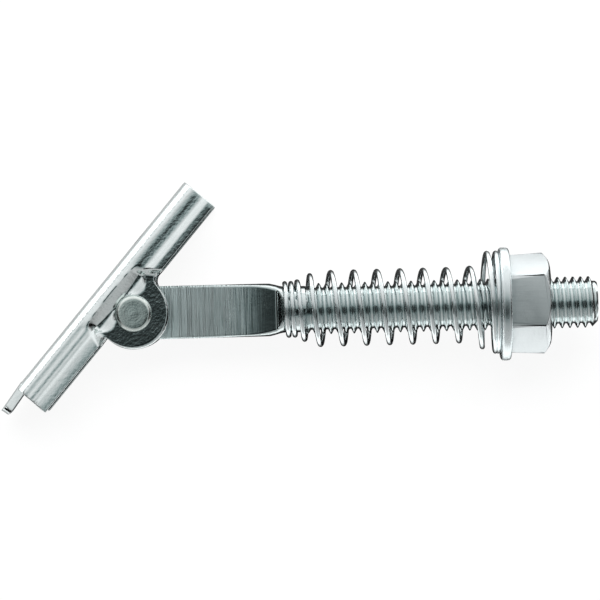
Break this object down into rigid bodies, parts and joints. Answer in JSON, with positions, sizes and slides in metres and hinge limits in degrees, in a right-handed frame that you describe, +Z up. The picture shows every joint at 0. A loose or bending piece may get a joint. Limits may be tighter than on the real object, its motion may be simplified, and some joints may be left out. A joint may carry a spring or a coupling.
{
  "type": "spring toggle bolt",
  "caption": "Zinc-plated spring toggle bolt: a folded sheet toggle swings on a rivet through the flattened end of a threaded stud, with a tapered spring, washer and hex nut.",
  "frame": {"origin": "on the surface that the bolt lies on, below the middle of its plan", "axes": "+Z up; +X along the plan of the stud, from the toggle to the free end of the thread; +Y to the left of +X"},
  "size_m": [0.116, 0.0444, 0.022],
  "materials": {
    "stud": "bright zinc plate over a rolled thread and a pressed blade",
    "toggle": "bright zinc plate over pressed sheet",
    "rivet": "bright zinc plate with a turned face",
    "spring": "bright zinc plate over drawn wire",
    "washer": "bright zinc plate over a stamped ring",
    "nut": "bright zinc plate over a drawn hexagon"
  },
  "bodies": {
    "bolt": {"stud": "stud", "spring": "spring"},
    "toggle_bar": {"toggle": "toggle", "rivet": "rivet"},
    "loose_washer": {"washer": "washer"},
    "screwed_nut": {"nut": "nut"}
  },
  "joints": [
    {"name": "toggle_pivot", "type": "hinge", "parent": "bolt", "child": "toggle_bar", "pos_m": [-0.03214, -0.00307, 0.00633], "axis": [-0.0649, 0.0556, 0.9963], "range_deg": [-49.4, 130.6]},
    {"name": "washer_slide", "type": "slide", "parent": "bolt", "child": "loose_washer", "axis": [0.9979, 0.0018, 0.0649], "range_m": [-0.022, 0], "deforming": ["spring"]},
    {"name": "nut_turn", "type": "hinge", "parent": "loose_washer", "child": "screwed_nut", "pos_m": [0.0447, -0.00293, 0.01133], "axis": [0.9979, 0.0018, 0.0649], "range_deg": [-5280, 0]}
  ],
  "couplings": [
    {"joint": "washer_slide", "follows": "nut_turn", "m_per_rad": 0.00023873}
  ]
}
